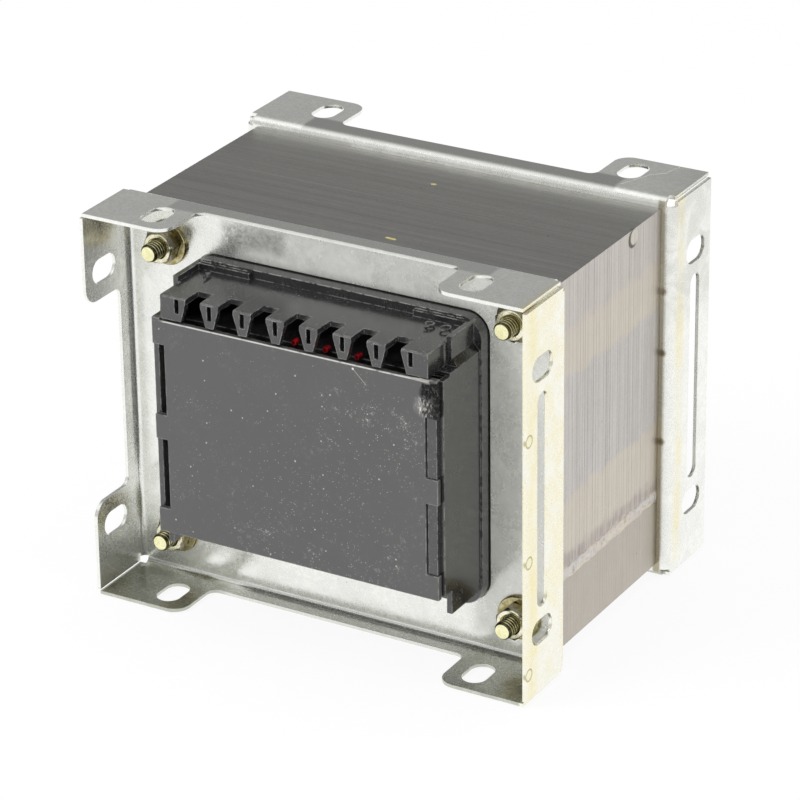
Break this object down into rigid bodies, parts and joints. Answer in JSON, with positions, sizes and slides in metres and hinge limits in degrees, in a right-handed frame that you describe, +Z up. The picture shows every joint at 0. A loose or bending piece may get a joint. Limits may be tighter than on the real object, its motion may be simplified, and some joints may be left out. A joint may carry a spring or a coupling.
{
  "type": "chassis mount transformer",
  "caption": "Open transformer with a welded laminated core, two slotted steel end frames and black terminal hoods.",
  "frame": {"origin": "middle of the core at the level the frames stand on", "axes": "+X across the core towards the plain side flanges, +Y through the stack away from the nuts, +Z up"},
  "size_m": [0.1268, 0.1052, 0.107],
  "materials": {
    "lamination_steel": "varnished, edges of thin sheets showing",
    "lamination_steel_foot": "varnished, edges of thin sheets showing",
    "weld_metal": "welded bead, heat tinted",
    "zinc_plated_sheet": "zinc plated, yellow passivated, stained",
    "bobbin_plastic": "moulded black",
    "winding_tape": "wrapped in grey insulating tape",
    "hood_plastic": "moulded black, satin",
    "cover_plastic": "moulded black, satin, dusty",
    "red_insulation": "insulated lead ends",
    "yellow_zinc_bolt": "zinc plated, yellow passivated",
    "yellow_zinc_nut": "zinc plated, yellow passivated",
    "yellow_zinc_washer": "zinc plated, yellow passivated"
  },
  "bodies": {
    "root": {"core_e_stack": "lamination_steel", "core_i_stack": "lamination_steel_foot", "core_welds": "weld_metal", "front_frame": "zinc_plated_sheet", "rear_frame": "zinc_plated_sheet", "bobbin": "bobbin_plastic", "winding": "winding_tape", "front_hood": "hood_plastic", "rear_hood": "hood_plastic", "front_cover": "cover_plastic", "rear_cover": "cover_plastic", "lead_ends": "red_insulation", "bolt_upper_left": "yellow_zinc_bolt", "bolt_upper_right": "yellow_zinc_bolt", "bolt_lower_left": "yellow_zinc_bolt", "bolt_lower_right": "yellow_zinc_bolt", "nut_upper_left": "yellow_zinc_nut", "nut_upper_right": "yellow_zinc_nut", "nut_lower_left": "yellow_zinc_nut", "nut_lower_right": "yellow_zinc_nut", "front_washer_upper_left": "yellow_zinc_washer", "front_washer_upper_right": "yellow_zinc_washer", "front_washer_lower_left": "yellow_zinc_washer", "front_washer_lower_right": "yellow_zinc_washer", "rear_washer_upper_left": "yellow_zinc_washer", "rear_washer_upper_right": "yellow_zinc_washer", "rear_washer_lower_left": "yellow_zinc_washer", "rear_washer_lower_right": "yellow_zinc_washer"}
  },
  "joints": []
}
